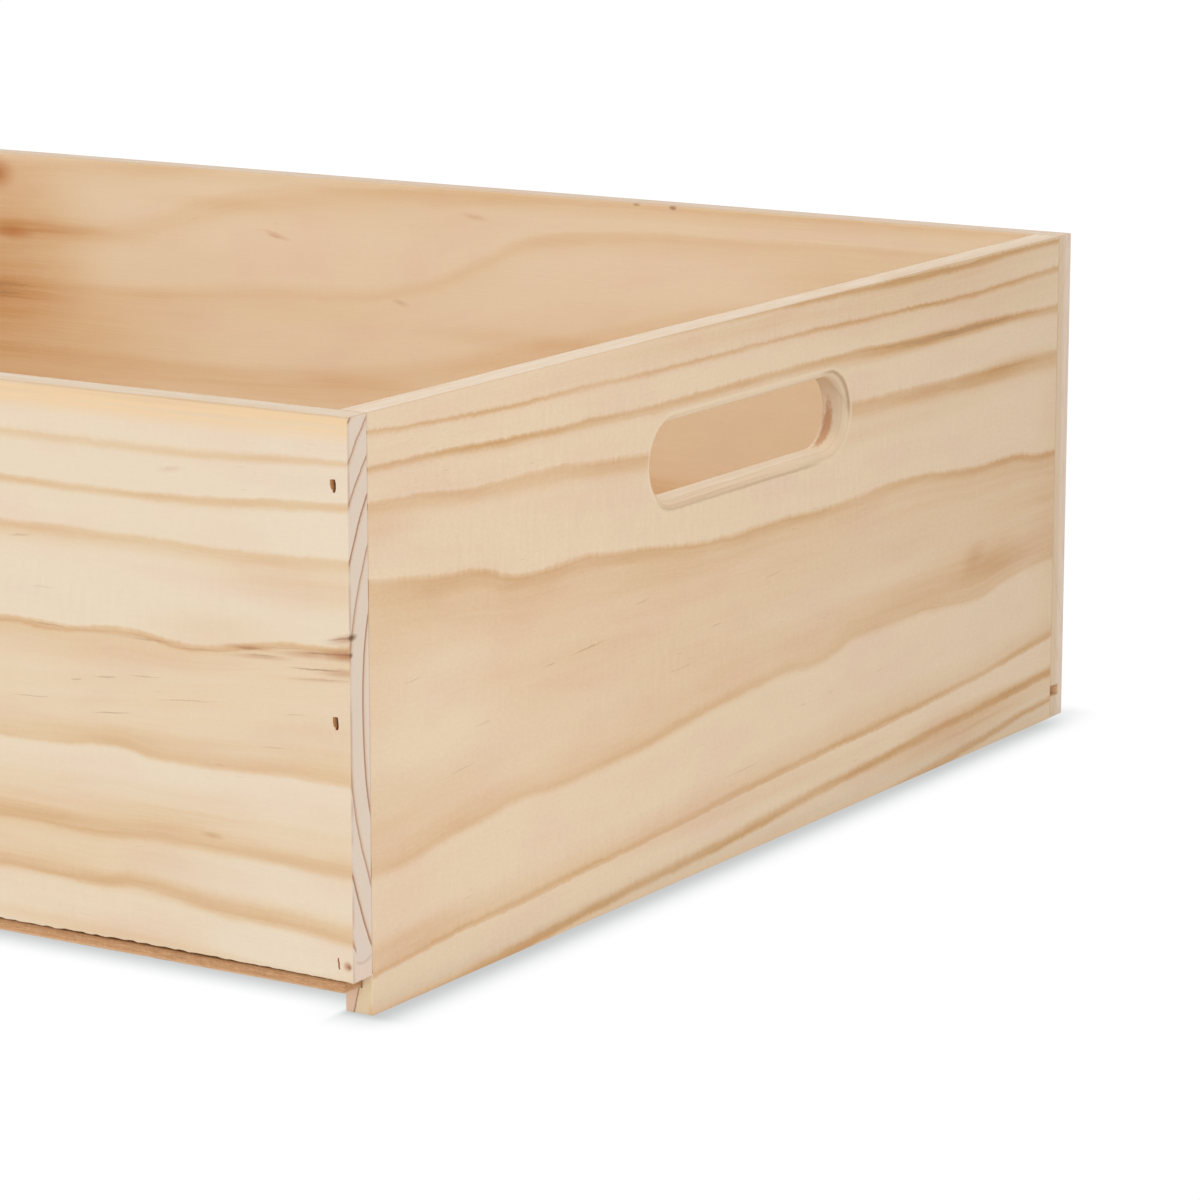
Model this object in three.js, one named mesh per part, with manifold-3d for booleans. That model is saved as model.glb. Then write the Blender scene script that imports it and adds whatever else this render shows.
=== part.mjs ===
import * as THREE from 'three';
import { mergeVertices } from 'three/addons/utils/BufferGeometryUtils.js';
import Module from 'manifold-3d';

// Open pine apple crate, built like a drawer: two long side boards lap the ends of two
// shorter end boards, and a thin fibreboard bottom slides into grooves.
// Millimetres. X runs along the length, Y across the width, Z up.
// Origin: centre of the footprint, on the ground. The front board, which is less tall
// than the back one, faces -Y; left is -X.

// ---- boards ---------------------------------------------------------------------------
const LENGTH = 600;            // over the long boards' ends
const WIDTH = 400;             // over the two long boards
const HEIGHT = 156;            // ground to rim
const BOARD_T = 8.5;           // thickness of every pine board

const HALF_L = LENGTH / 2;
const HALF_W = WIDTH / 2;
const INNER_L = HALF_L - BOARD_T;   // inner faces of the end boards
const INNER_W = HALF_W - BOARD_T;   // inner faces of the long boards

// ---- grooves in the end boards and the back board, which hold the bottom panel --------
const GROOVE_Z = 7;            // lower wall above the ground
const GROOVE_H = 3.5;
const GROOVE_D = 5.25;         // depth into the board
const GROOVE_TOP = GROOVE_Z + GROOVE_H;

// the front board stops level with the groove's top, so that the panel slides in under it
const FRONT_BOARD_Z = GROOVE_TOP;

// ---- bottom panel ---------------------------------------------------------------------
const PANEL_T = 3;
const PANEL_Z = GROOVE_Z + (GROOVE_H - PANEL_T) / 2;   // underside, mid-groove
const PANEL_PLAY = 0.25;       // from the panel's edge to the groove's floor
const PANEL_SETBACK = 1;       // front edge behind the front board's face

// ---- stadium-shaped hand hole through each end board, rounded over on both faces ------
const HAND_LENGTH = 107.5;     // at the middle of the board's thickness
const HAND_HEIGHT = 21;
const HAND_Z = 120.25;         // centre above the ground
const HAND_ROUND = 2;
const HAND_ARC_SEGMENTS = 14;  // per half circle
const HAND_ROUND_SEGMENTS = 5;

// ---- T-headed brads -------------------------------------------------------------------
const BRAD_HEAD_H = 3.25;      // long side of the head
const BRAD_HEAD_T = 1;
const BRAD_SHANK_H = 1.5;
const BRAD_W = 1.25;           // head and shank alike
const BRAD_POINT = 2.5;        // length of the tapered tip
const BRAD_GAP = 0.25;         // clearance of the brad's hole on each side

// corner brads, through the long boards into the end boards' end grain
const CORNER_BRAD_LENGTH = 25;
const CORNER_BRAD_SUNK = 1;    // head below the board's face
const CORNER_BRAD_X = HALF_L - 4.5;
const CORNER_BRAD_Y = HALF_W - CORNER_BRAD_SUNK;
const CORNER_BRAD_LEVELS = { top: 138.25, middle: 77.75, bottom: 15.25 };

// shorter brads up through the panel into the front board's lower edge
const PANEL_BRAD_LENGTH = 15;
const PANEL_BRAD_PITCH = 124;
const PANEL_BRAD_X = [-2, -1, 0, 1, 2].map((step) => step * PANEL_BRAD_PITCH);
const PANEL_BRAD_Y = -(HALF_W - BOARD_T / 2);

// ---- how far cutters run past the surfaces they open ----------------------------------
const GROOVE_OVERRUN = 2;
const BRAD_HOLE_OVERRUN = 1;
const HAND_OVERRUN = 0.05;

// ---- materials ------------------------------------------------------------------------
const pine = new THREE.MeshStandardMaterial({ color: 0xe6cdac, roughness: 0.68, metalness: 0 });
const endPine = new THREE.MeshStandardMaterial({ color: 0xdabf9c, roughness: 0.7, metalness: 0 });
const fibreboard = new THREE.MeshStandardMaterial({
  color: 0x9a6f45,
  roughness: 0.78,
  metalness: 0,
});
const steel = new THREE.MeshStandardMaterial({ color: 0x6d6761, roughness: 0.45, metalness: 0.9 });

// ---- solid modelling ------------------------------------------------------------------
const wasm = await Module();
wasm.setup();

function solidOf(geometry) {
  // corners can only be welded once nothing but their positions tells them apart
  geometry.deleteAttribute('normal');
  geometry.deleteAttribute('uv');
  const welded = mergeVertices(geometry, 1e-4);
  return new wasm.Manifold(new wasm.Mesh({
    numProp: 3,
    vertProperties: welded.attributes.position.array,
    triVerts: new Uint32Array(welded.index.array),
  }));
}

function geometryOf(solid) {
  const mesh = solid.getMesh();
  const geometry = new THREE.BufferGeometry();
  const positions = new Float32Array(mesh.vertProperties);
  geometry.setAttribute('position', new THREE.BufferAttribute(positions, 3));
  geometry.setIndex(new THREE.BufferAttribute(new Uint32Array(mesh.triVerts), 1));
  geometry.computeVertexNormals();
  return geometry;
}

function cut(geometry, cutters) {
  let solid = solidOf(geometry);
  for (const cutter of cutters) solid = solid.subtract(solidOf(cutter));
  return geometryOf(solid);
}

// a box given by any two opposite corners
function block(start, end) {
  const size = start.map((value, axis) => Math.abs(end[axis] - value));
  const centre = start.map((value, axis) => (value + end[axis]) / 2);
  return new THREE.BoxGeometry(...size).translate(...centre);
}

// Turns a geometry so that its axes point along the three given directions.
function turn(geometry, xTo, yTo, zTo) {
  const axes = [xTo, yTo, zTo].map((direction) => new THREE.Vector3(...direction));
  return geometry.applyMatrix4(new THREE.Matrix4().makeBasis(...axes));
}

// An extrusion's outline goes into the YZ plane and its depth along X.
const standOutline = (geometry) => turn(geometry, [0, 1, 0], [0, 0, 1], [1, 0, 0]);

// ---- brads and their holes ------------------------------------------------------------
// Brad along +Z from its head's outer face at z = 0, the head's long side along Y.
function bradGeometry(length) {
  const head = BRAD_HEAD_H / 2;
  const shank = BRAD_SHANK_H / 2;
  const outline = [
    [-head, 0], [head, 0],
    [head, BRAD_HEAD_T], [shank, BRAD_HEAD_T],
    [shank, length - BRAD_POINT], [0, length], [-shank, length - BRAD_POINT],
    [-shank, BRAD_HEAD_T], [-head, BRAD_HEAD_T],
  ];
  const shape = new THREE.Shape(outline.map(([x, y]) => new THREE.Vector2(x, y)));
  const geometry = new THREE.ExtrudeGeometry(shape, {
    depth: BRAD_W,
    bevelEnabled: false,
    steps: 1,
  });
  geometry.translate(0, 0, -BRAD_W / 2);
  return standOutline(geometry);
}

// Cutters for that brad's hole; the head's part starts at z = -lead, outside the head.
function bradHole(length, lead) {
  const halfWidth = BRAD_W / 2 + BRAD_GAP;
  const halfHead = BRAD_HEAD_H / 2 + BRAD_GAP;
  const halfShank = BRAD_SHANK_H / 2 + BRAD_GAP;
  return [
    block([-halfWidth, -halfHead, -lead], [halfWidth, halfHead, BRAD_HEAD_T + BRAD_GAP]),
    block([-halfWidth, -halfShank, 0], [halfWidth, halfShank, length + BRAD_GAP]),
  ];
}

// Lays a brad or hole down to enter a long board from outside: side -1 front, +1 back.
const turnInwards = (geometry, side) => turn(geometry, [side, 0, 0], [0, 0, 1], [0, -side, 0]);

// Keeps a brad or hole upright, with the head's long side along the front board.
const turnAlongBoard = (geometry) => turn(geometry, [0, 1, 0], [-1, 0, 0], [0, 0, 1]);

const cornerBradPlace = (side, end, z) => [end * CORNER_BRAD_X, side * CORNER_BRAD_Y, z];
const panelBradPlace = (x) => [x, PANEL_BRAD_Y, PANEL_Z];

// hole cutters for the corners where the given long boards meet the given end boards
function cornerHoles(longSides, endSides) {
  const lead = CORNER_BRAD_SUNK + BRAD_HOLE_OVERRUN;
  const levels = Object.values(CORNER_BRAD_LEVELS);
  return longSides.flatMap((side) => endSides.flatMap((end) => levels.flatMap((z) => (
    bradHole(CORNER_BRAD_LENGTH, lead).map((cutter) => (
      turnInwards(cutter, side).translate(...cornerBradPlace(side, end, z))
    ))
  ))));
}

function panelBradHoles() {
  return PANEL_BRAD_X.flatMap((x) => (
    bradHole(PANEL_BRAD_LENGTH, BRAD_HOLE_OVERRUN).map((cutter) => (
      turnAlongBoard(cutter).translate(...panelBradPlace(x))
    ))
  ));
}

// ---- boards and panel -----------------------------------------------------------------
// Hand hole cutter, its axis along X, centred on the origin: a stadium that flares out
// to the board's two faces by a quarter-round.
function handHoleCutter() {
  const radius = HAND_HEIGHT / 2 + HAND_ROUND;
  const arcCentre = HAND_LENGTH / 2 + HAND_ROUND - radius;
  const stadium = new THREE.Shape();
  stadium.moveTo(-arcCentre, -radius);
  stadium.lineTo(arcCentre, -radius);
  stadium.absarc(arcCentre, 0, radius, -Math.PI / 2, Math.PI / 2, false);
  stadium.lineTo(-arcCentre, radius);
  stadium.absarc(-arcCentre, 0, radius, Math.PI / 2, (3 * Math.PI) / 2, false);

  const depth = BOARD_T - 2 * HAND_ROUND + 2 * HAND_OVERRUN;
  const geometry = new THREE.ExtrudeGeometry(stadium, {
    depth,
    curveSegments: HAND_ARC_SEGMENTS,
    bevelEnabled: true,
    bevelThickness: HAND_ROUND,
    bevelSize: -HAND_ROUND,    // negative: narrows towards the middle
    bevelOffset: 0,
    bevelSegments: HAND_ROUND_SEGMENTS,
    steps: 1,
  });
  geometry.translate(0, 0, -depth / 2);
  return standOutline(geometry);
}

function frontBoard() {
  const board = block([-HALF_L, -HALF_W, FRONT_BOARD_Z], [HALF_L, -INNER_W, HEIGHT]);
  return cut(board, [...cornerHoles([-1], [-1, 1]), ...panelBradHoles()]);
}

function backBoard() {
  const board = block([-HALF_L, INNER_W, 0], [HALF_L, HALF_W, HEIGHT]);
  const grooveEnd = HALF_L + GROOVE_OVERRUN;
  const groove = block(
    [-grooveEnd, INNER_W - GROOVE_OVERRUN, GROOVE_Z],
    [grooveEnd, INNER_W + GROOVE_D, GROOVE_TOP],
  );
  return cut(board, [...cornerHoles([1], [-1, 1]), groove]);
}

// end -1 left, +1 right
function endBoard(end) {
  const board = block([end * INNER_L, -INNER_W, 0], [end * HALF_L, INNER_W, HEIGHT]);
  const handHole = handHoleCutter().translate(end * (HALF_L - BOARD_T / 2), 0, HAND_Z);
  const grooveEnd = INNER_W + GROOVE_OVERRUN;
  const groove = block(
    [end * (INNER_L - GROOVE_OVERRUN), -grooveEnd, GROOVE_Z],
    [end * (INNER_L + GROOVE_D), grooveEnd, GROOVE_TOP],
  );
  return cut(board, [handHole, groove, ...cornerHoles([-1, 1], [end])]);
}

function bottomPanel() {
  const reach = GROOVE_D - PANEL_PLAY;   // into the grooves
  const panel = block(
    [-(INNER_L + reach), -(HALF_W - PANEL_SETBACK), PANEL_Z],
    [INNER_L + reach, INNER_W + reach, PANEL_Z + PANEL_T],
  );
  return cut(panel, panelBradHoles());
}

// ---- assembly -------------------------------------------------------------------------
const crate = new THREE.Group();
crate.name = 'apple_crate';

function addGroup(name) {
  const group = new THREE.Group();
  group.name = name;
  crate.add(group);
  return group;
}

function addMesh(parent, name, geometry, material, position = [0, 0, 0]) {
  const mesh = new THREE.Mesh(geometry, material);
  mesh.name = name;
  mesh.position.set(...position);
  parent.add(mesh);
}

const sideBoards = addGroup('side_boards');
addMesh(sideBoards, 'front_side_board', frontBoard(), pine);
addMesh(sideBoards, 'back_side_board', backBoard(), pine);

const endBoards = addGroup('end_boards');
addMesh(endBoards, 'left_end_board', endBoard(-1), endPine);
addMesh(endBoards, 'right_end_board', endBoard(1), endPine);

addMesh(crate, 'bottom_panel', bottomPanel(), fibreboard);

const brads = addGroup('brads');
for (const [sideName, side] of [['front', -1], ['back', 1]]) {
  for (const [endName, end] of [['left', -1], ['right', 1]]) {
    for (const [level, z] of Object.entries(CORNER_BRAD_LEVELS)) {
      const brad = turnInwards(bradGeometry(CORNER_BRAD_LENGTH), side);
      const name = `brad_${sideName}_${endName}_${level}`;
      addMesh(brads, name, brad, steel, cornerBradPlace(side, end, z));
    }
  }
}

PANEL_BRAD_X.forEach((x, i) => {
  const brad = turnAlongBoard(bradGeometry(PANEL_BRAD_LENGTH));
  addMesh(brads, `panel_brad_${i + 1}`, brad, steel, panelBradPlace(x));
});

export default crate;
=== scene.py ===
# An open pine box on a white floor: four boards around a fibreboard bottom, held by steel brads.
# It is centred on the origin and stands on z = 0. Its length runs along X, the front board faces
# -Y, and each end board (at +X and -X) has a hand hole.
# Boards are modelled and textured in millimetres; meshes are scaled to metres when finished.
import functools
import math

import bmesh
import bpy
import numpy as np
from mathutils import Matrix, Vector


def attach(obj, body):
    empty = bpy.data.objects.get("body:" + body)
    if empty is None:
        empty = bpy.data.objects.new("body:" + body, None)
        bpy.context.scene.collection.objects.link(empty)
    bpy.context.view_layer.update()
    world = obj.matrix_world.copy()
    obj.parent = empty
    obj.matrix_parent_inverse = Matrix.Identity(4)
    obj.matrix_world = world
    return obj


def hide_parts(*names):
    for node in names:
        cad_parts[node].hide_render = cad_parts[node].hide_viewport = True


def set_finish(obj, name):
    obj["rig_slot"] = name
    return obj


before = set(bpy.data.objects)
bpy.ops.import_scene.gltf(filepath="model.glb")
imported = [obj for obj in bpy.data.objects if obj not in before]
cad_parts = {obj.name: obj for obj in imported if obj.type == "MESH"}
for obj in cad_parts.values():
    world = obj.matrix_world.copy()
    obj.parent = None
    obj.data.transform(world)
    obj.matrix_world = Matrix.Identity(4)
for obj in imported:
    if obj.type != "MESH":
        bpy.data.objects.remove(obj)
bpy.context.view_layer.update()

MM = 0.001

# ---- driving sizes, mm ---------------------------------------------------------------------
HALF_X, HALF_Y, HEIGHT = 300.0, 200.0, 156.0
THICK = 8.5
INNER_X, INNER_Y = HALF_X - THICK, HALF_Y - THICK
GROOVE_LOW, GROOVE_TOP, GROOVE_DEPTH = 7.0, 10.5, 5.25
PANEL_PLAY = 0.25  # between the bottom panel and its groove
FRONT_LOW = GROOVE_TOP  # the front board has no groove and starts above the panel
BRAD_LEVELS = (138.25, 77.75, 15.25)
BRAD_INSET = 4.5  # from the box's ends
BRAD_THIN, BRAD_WIDE = 0.875, 1.0  # half sizes of a brad's section
FOOT_BRADS = (-248, -124, 0, 124, 248)  # x of the upright brads under the front board
FOOT_BRAD_Y = -INNER_Y - THICK / 2
HAND_Z, HAND_LENGTH, HAND_HEIGHT = 120.6, 109.0, 21.75
TOP_BAND = 4.0  # height of the strip below each top edge that dips a little

view = bpy.context.scene.view_settings
view.view_transform = "Standard"
view.look = "None"
view.exposure = 0.0
view.gamma = 1.0


# =====================================================================================
# a small language for shader graphs: each function adds nodes to the current material
# =====================================================================================
tree = None  # node tree of the material being built


def srgb(*rgb):
    """0..255 display colour as linear RGBA."""
    parts = [part / 255.0 for part in rgb]
    return (*[p / 12.92 if p <= 0.04045 else ((p + 0.055) / 1.055) ** 2.4 for p in parts], 1.0)


class Socket:
    """An output socket with arithmetic."""

    def __init__(self, socket):
        self.socket = socket

    def __add__(self, other):
        return calc("ADD", self, other)

    __radd__ = __add__

    def __sub__(self, other):
        return calc("SUBTRACT", self, other)

    def __rsub__(self, other):
        return calc("SUBTRACT", other, self)

    def __mul__(self, other):
        return calc("MULTIPLY", self, other)

    __rmul__ = __mul__

    def __truediv__(self, other):
        return calc("DIVIDE", self, other)

    def __abs__(self):
        return calc("ABSOLUTE", self)


def new_material(name, shader="BsdfPrincipled"):
    """Starts a material and returns it with its surface shader node."""
    global tree
    material = bpy.data.materials.new(name)
    material.use_nodes = True
    tree = material.node_tree
    tree.nodes.clear()
    output = node("OutputMaterial", {})
    surface = node(shader, {})
    tree.links.new(surface.outputs[0], output.inputs[0])
    return material, surface


def feed(target, inputs):
    """Links or sets inputs, given by name or index."""
    for key, value in inputs.items():
        if isinstance(value, Socket):
            tree.links.new(value.socket, target.inputs[key])
        else:
            target.inputs[key].default_value = value


def node(kind, inputs, **settings):
    made = tree.nodes.new("ShaderNode" + kind)
    for field, value in settings.items():
        setattr(made, field, value)
    feed(made, inputs)
    return made


def calc(operation, *values, clamp=False):
    made = node("Math", dict(enumerate(values)), operation=operation, use_clamp=clamp)
    return Socket(made.outputs[0])


def largest(*values):
    return functools.reduce(lambda one, other: calc("MAXIMUM", one, other), values)


def ramp(value, start, end, low=0.0, high=1.0, kind="LINEAR"):
    """low at start, high at end, and held beyond them."""
    inputs = dict(enumerate((value, start, end, low, high)))
    return Socket(node("MapRange", inputs, interpolation_type=kind, clamp=True).outputs[0])


def smooth(value, start, end, low=0.0, high=1.0):
    return ramp(value, start, end, low, high, "SMOOTHSTEP")


def vec(*parts):
    return Socket(node("CombineXYZ", dict(enumerate(parts))).outputs[0])


def split(vector):
    return [Socket(output) for output in node("SeparateXYZ", {0: vector}).outputs]


def noise(point, detail=2.0, rough=0.5, scale=1.0):
    """point is a vector socket or its three parts."""
    vector = point if isinstance(point, Socket) else vec(*point)
    inputs = {"Vector": vector, "Scale": scale, "Detail": detail, "Roughness": rough}
    return Socket(node("TexNoise", inputs).outputs[0])


def swing(point, detail=2.0, rough=0.5):
    """Noise about zero."""
    return noise(point, detail, rough) - 0.5


def curve(value, points, handles="AUTO_CLAMPED"):
    """points are (input 0..1, output)."""
    made = node("FloatCurve", {"Factor": 1.0, "Value": value})
    mapping = made.mapping
    mapping.use_clip = False
    knots = mapping.curves[0].points
    points = sorted(points)
    knots[0].location = points[0]
    knots[1].location = points[-1]
    for point in points[1:-1]:
        knots.new(*point)
    for knot in knots:
        knot.handle_type = handles
    mapping.extend = "HORIZONTAL"
    mapping.update()
    return Socket(made.outputs[0])


def mix(factor, one, other, mode="MIX"):
    made = node("Mix", {}, data_type="RGBA", blend_type=mode, clamp_factor=True)
    feed(made, {0: factor, 6: one, 7: other})
    return Socket(made.outputs[2])


def multiply(one, other, factor=1.0):
    return mix(factor, one, other, "MULTIPLY")


def grey(value):
    return vec(value, value, value)


def colours(value, stops):
    """stops are (position, linear RGBA)."""
    made = node("ValToRGB", {0: value})
    elements = made.color_ramp.elements
    elements[0].position, elements[0].color = stops[0]
    elements[1].position, elements[1].color = stops[-1]
    for position, colour in stops[1:-1]:
        elements.new(position).color = colour
    return Socket(made.outputs[0])


def oval(point, centre, half_size, angle=0):
    """Distance from centre, 1 on the ellipse of that half size turned by angle degrees."""
    placed = node("Mapping", {
        "Vector": point,
        "Location": (*centre, 0)[:3],
        "Rotation": (0, 0, math.radians(angle)),
        "Scale": (*half_size, 1)[:3],
    }, vector_type="TEXTURE")
    length = node("VectorMath", {}, operation="LENGTH")
    feed(length, {0: Socket(placed.outputs[0])})
    return Socket(length.outputs["Value"])


def object_mm():
    """The object point as x, y, z in millimetres, and the normal."""
    made = node("TexCoord", {})
    parts = split(Socket(made.outputs["Object"]))
    return [part * 1000.0 for part in parts], Socket(made.outputs["Normal"])


def bump(height):
    made = node("Bump", {"Strength": 1.0, "Distance": 0.001, "Height": height})
    return Socket(made.outputs[0])


# =====================================================================================
# pine
#
# A board is described by along (mm along the grain), depth (mm below the face its grain is
# drawn on) and high (mm above the floor).
# =====================================================================================
def wander(points, seed, drift=0.0, amount=1.4):
    """Carries a grain line on to along = -600 with a gentle, repeatable wander."""
    step = 24.0
    start, level = min(points)
    room = start + 2 * HALF_X
    slow, quick, _ = np.random.default_rng(seed).uniform(0, 6.28, 3)
    base = math.sin(slow) * amount + math.sin(quick) * amount * 0.5
    line = list(points)
    for i in range(1, int(room / step) + 1):
        x = i * step
        y = (level + drift * x / room + amount * math.sin(slow + x / 61.0)
             + 0.5 * amount * math.sin(quick + x / 27.0) - base)
        line.append((start - x, y))
    return sorted(line)


def smoothstep(start, end, x):
    x = min(1.0, max(0.0, (x - start) / (end - start)))
    return x * x * (3 - 2 * x)


def cross_section(lines, levels, zones):
    """Darkness by straightened height on the drawn face, as curve points over -20..180 mm."""
    rings = [(level, side, profile)
             for (_, side, _, profile), level in zip(lines, levels) if side != 0]
    low, _, low_profile = [ring for ring in rings if ring[1] == -1][-1]
    high, _, high_profile = [ring for ring in rings if ring[1] == 1][0]
    low_soft, high_soft = low_profile[4], high_profile[4]
    span = high - low

    def darkness(height):
        value = float(np.interp((height - low) / span, *zip(*zones)))
        value *= (smoothstep(-low_soft, low_soft, height - low)
                  * smoothstep(-high_soft, high_soft, high - height))
        for level, side, (strength, band, fade, fade_strength, soft) in rings:
            past = (level - height) * side
            solid = strength * (1 - smoothstep(band * 0.55, band * 1.45, past))
            tail = fade_strength * max(0.0, 1 - max(0.0, past) / fade) ** 1.6
            value += smoothstep(-soft, soft, past) * (solid + tail)
        return value

    heights = {-20.0, 180.0}
    for place, _ in zones:
        heights.add(round(low + place * span, 3))
    for level, side, (_, band, fade, _, soft) in rings:
        for past in (-soft, 0.0, soft, band * 0.75, band * 1.0, band * 1.45,
                     band * 1.45 + fade * 0.25, fade * 0.6, fade):
            heights.add(round(level - side * past, 3))
    points = []
    for height in sorted(heights):
        place = (height + 20) / 200
        if -20 <= height <= 180 and (not points or place - points[-1][0] > 0.0012):
            points.append((place, darkness(height)))
    return points


def straighten(bent, along, reach, rings, lines, taper):
    """Height with the drawn grain lines pulled level, and each line's level."""
    start, end = reach
    fraction = (along - start) / (end - start)

    def along_curve(points, unit):
        return curve(fraction, [((x - start) / (end - start), y / unit) for x, y in points])

    pith_high, pith_depth, first_radius, width = rings
    levels = [
        number if side == 0 else pith_high + side * math.sqrt(
            (first_radius + (number - 1) * width) ** 2 - pith_depth * pith_depth)
        for number, side, *_ in lines
    ]
    straight = below = None
    for j, line in enumerate(lines):
        here = along_curve(line[2], 200.0) * 200.0
        if j == 0:
            straight = calc("MINIMUM", bent - here, 0.0) + levels[0]
        else:
            straight = straight + ramp(bent, below, here, 0.0, levels[j] - levels[j - 1])
        below = here
    straight = straight + largest(bent - below, 0.0)
    if taper:
        straight = (straight - pith_high) * along_curve(taper, 1.0) + pith_high
    return straight, levels


def board_point(axes):
    """along, depth and high, each made from (axis, sign, offset), and the normal."""
    parts, normal = object_mm()
    return [parts[axis] * sign + offset for axis, sign, offset in axes], normal


def pine(name, axes, reach, rings, lines, zones, cracks, stains, tones, gain, seed,
         tints=(), taper=None, chatter=(), details=None, streak=0.07, grain=0.06, fuzz=0.05,
         ripple=0.05, dashes=0.10, jag=0.8, stain_tones=((184, 124, 80), (196, 148, 104)),
         cut_end=(217, 199, 181)):
    """Solid pine.

    axes    (axis, sign, offset) for along, depth and high
    reach   range of along
    rings   (height of the pith, its depth, radius of the first ring, ring width)
    lines   drawn grain lines from the bottom up
    zones   (place between the two first rings, darkness)
    tones   early, middle and late wood, scaled by gain
    details function adding what only this board has
    streak, grain, fuzz, ripple, dashes and jag are strengths of the fibre, shading and pores
    """
    material, surface = new_material(name)
    (along, depth, high), normal = board_point(axes)
    normal = split(normal)
    end_grain = smooth(abs(normal[axes[0][0]]), 0.55, 0.85)

    # slow and quick wobble of the grain, and its steps from cell to cell
    slow = swing((along * 0.016 + seed * 3.1, depth * 0.03, high * 0.035), 2.0, 0.5)
    quick = swing((along * 0.09 + seed * 7.7, depth * 0.15, high * 0.28), 3.0, 0.65)
    cell = swing((along * 0.52, depth * 0.2, high * 0.11), 2.0, 0.6)
    bent = high + slow * 1.6 + quick * 1.5 + cell * jag
    straight, levels = straighten(bent, along, reach, rings, lines, taper)

    # follow the growth ring out to the drawn face
    pith_high, pith_depth, first_radius, width = rings
    rise = straight - pith_high
    below_face = depth * depth - depth * (2 * pith_depth)
    out_squared = rise * rise + below_face
    out_high = (calc("SQRT", largest(out_squared, 0.0)) * calc("SIGN", rise)
                + pith_high)
    radius = calc("SQRT", out_squared + pith_depth * pith_depth)
    ring_count = (radius - first_radius) / width + 1.0
    ring = calc("FRACT", ring_count)
    index = calc("FLOOR", ring_count)
    section = curve((out_high + 20.0) / 200.0, cross_section(lines, levels, zones), "VECTOR")
    # rings that never reach the face
    hidden = smooth(ring, 0.3, 1.0, 0.0, 0.25) + smooth(ring, 0.86, 0.96, 0.0, 0.4)
    hidden = hidden * smooth(ring, 0.97, 1.0, 1.0, 0.0)
    inner = smooth(out_squared, -60.0, 0.0, 1.0, 0.0)
    section = Socket(node("Mix", {0: inner, 2: section, 3: hidden}, data_type="FLOAT").outputs[0])

    # fibre, drawn out along the grain and following it
    streaks = swing((along * 0.009 + seed, depth * 0.25, straight * 0.30), 3.0, 0.6)
    fibre_point = vec(along * 0.025, depth * 1.0, straight * 1.5)
    fibre = swing(fibre_point, 3.0, 0.65)
    fine = swing((along * 0.55, depth * 2.0, high * 1.15), 3.0, 0.8)
    blotch = swing((along * 0.012 + 9.0 + seed, depth * 0.02, straight * 0.035), 3.0, 0.55)
    patch = noise((along * 0.014 + seed * 1.7, 0.0, out_high * 0.09), 3.0, 0.6) * 1.5 + 0.25

    # how much late wood shows
    late = section * patch * (streaks * 0.9 + fibre * 0.5 + 1.0)
    face_point = vec(along, high, 0.0)
    for x, y, half_x, half_y, amount in tints:
        streaky = 0.5 if half_y >= 30 else 1.6
        tint = smooth(oval(face_point, (x, y), (half_x, half_y)), 0.1, 1.0, amount, 0.0)
        late = late + tint * (streaks * streaky + fibre * 0.8 + 1.0)
    faint = (streaks * streak + fibre * (streak * 0.8) + blotch * (streak * 1.2)
             + streak * 0.5)
    late = calc("ADD", late, faint, clamp=True)
    early_tone, middle_tone, late_tone = [
        [part * scale for part, scale in zip(srgb(*tone), (*gain, 1.0))] for tone in tones]
    darkest = [0.72 * part for part in late_tone[:3]] + [1.0]
    face = colours(late, [(0.0, early_tone), (0.28, middle_tone), (0.75, late_tone),
                          (1.0, darkest)])
    flush = noise((along * 0.02 - 7.0 + seed, depth * 0.05, straight * 0.07), 2.0, 0.6)
    face = multiply(face, srgb(253, 246, 250), smooth(flush, 0.45, 0.70) * 0.6)

    # cross-grain planer chatter, in patches
    where = noise((along * 0.013 + 2.0 + seed, 0.0, high * 0.025), 2.0, 0.5)
    where = smooth(where, 0.45, 0.62, 0.35, 1.0)
    for x, y, half_x, half_y, amount in chatter:
        where = where + smooth(oval(face_point, (x, y), (half_x, half_y)), 0.5, 1.0, amount, 0.0)
    shade = fibre * grain + fine * fuzz + blotch * 0.05 + cell * where * ripple + 1.0

    # resin canals: short fine dashes
    dash = node("TexVoronoi", {
        "Vector": vec(along * 0.085, depth * 0.8, straight * 1.0), "Scale": 0.62})
    pick = smooth(noise((along * 0.02 + 5.0, depth * 0.1, straight * 0.09), 1.0), 0.48, 0.66)
    pore = smooth(Socket(dash.outputs["Distance"]), 0.04, 0.12, 1.0, 0.0) * pick
    shade = shade - pore * dashes
    face = multiply(face, vec(shade, shade - pore * 0.02, shade - pore * 0.03))

    # drawn cracks and stains
    rough_point = vec(along, high + quick * 0.9 + fine * 0.5, 0.0)
    crack, stain = [
        largest(*[
            smooth(oval(rough_point, (x, y), (half_x, half_y), angle), core, 1.0, amount, 0.0)
            for x, y, half_x, half_y, angle, amount in marks])
        for marks, core in ((cracks, 0.2), (stains, 0.0))]
    near_face = smooth(depth, 3.0, 5.0, 1.0, 0.0)
    light_stain, dark_stain = stain_tones
    brown = mix(noise(fibre_point, 2.0, scale=3.0), srgb(*light_stain), srgb(*dark_stain))
    face = mix(stain * near_face, face, brown)
    crack = crack * near_face
    face = mix(crack, face, srgb(126, 84, 58))

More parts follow.
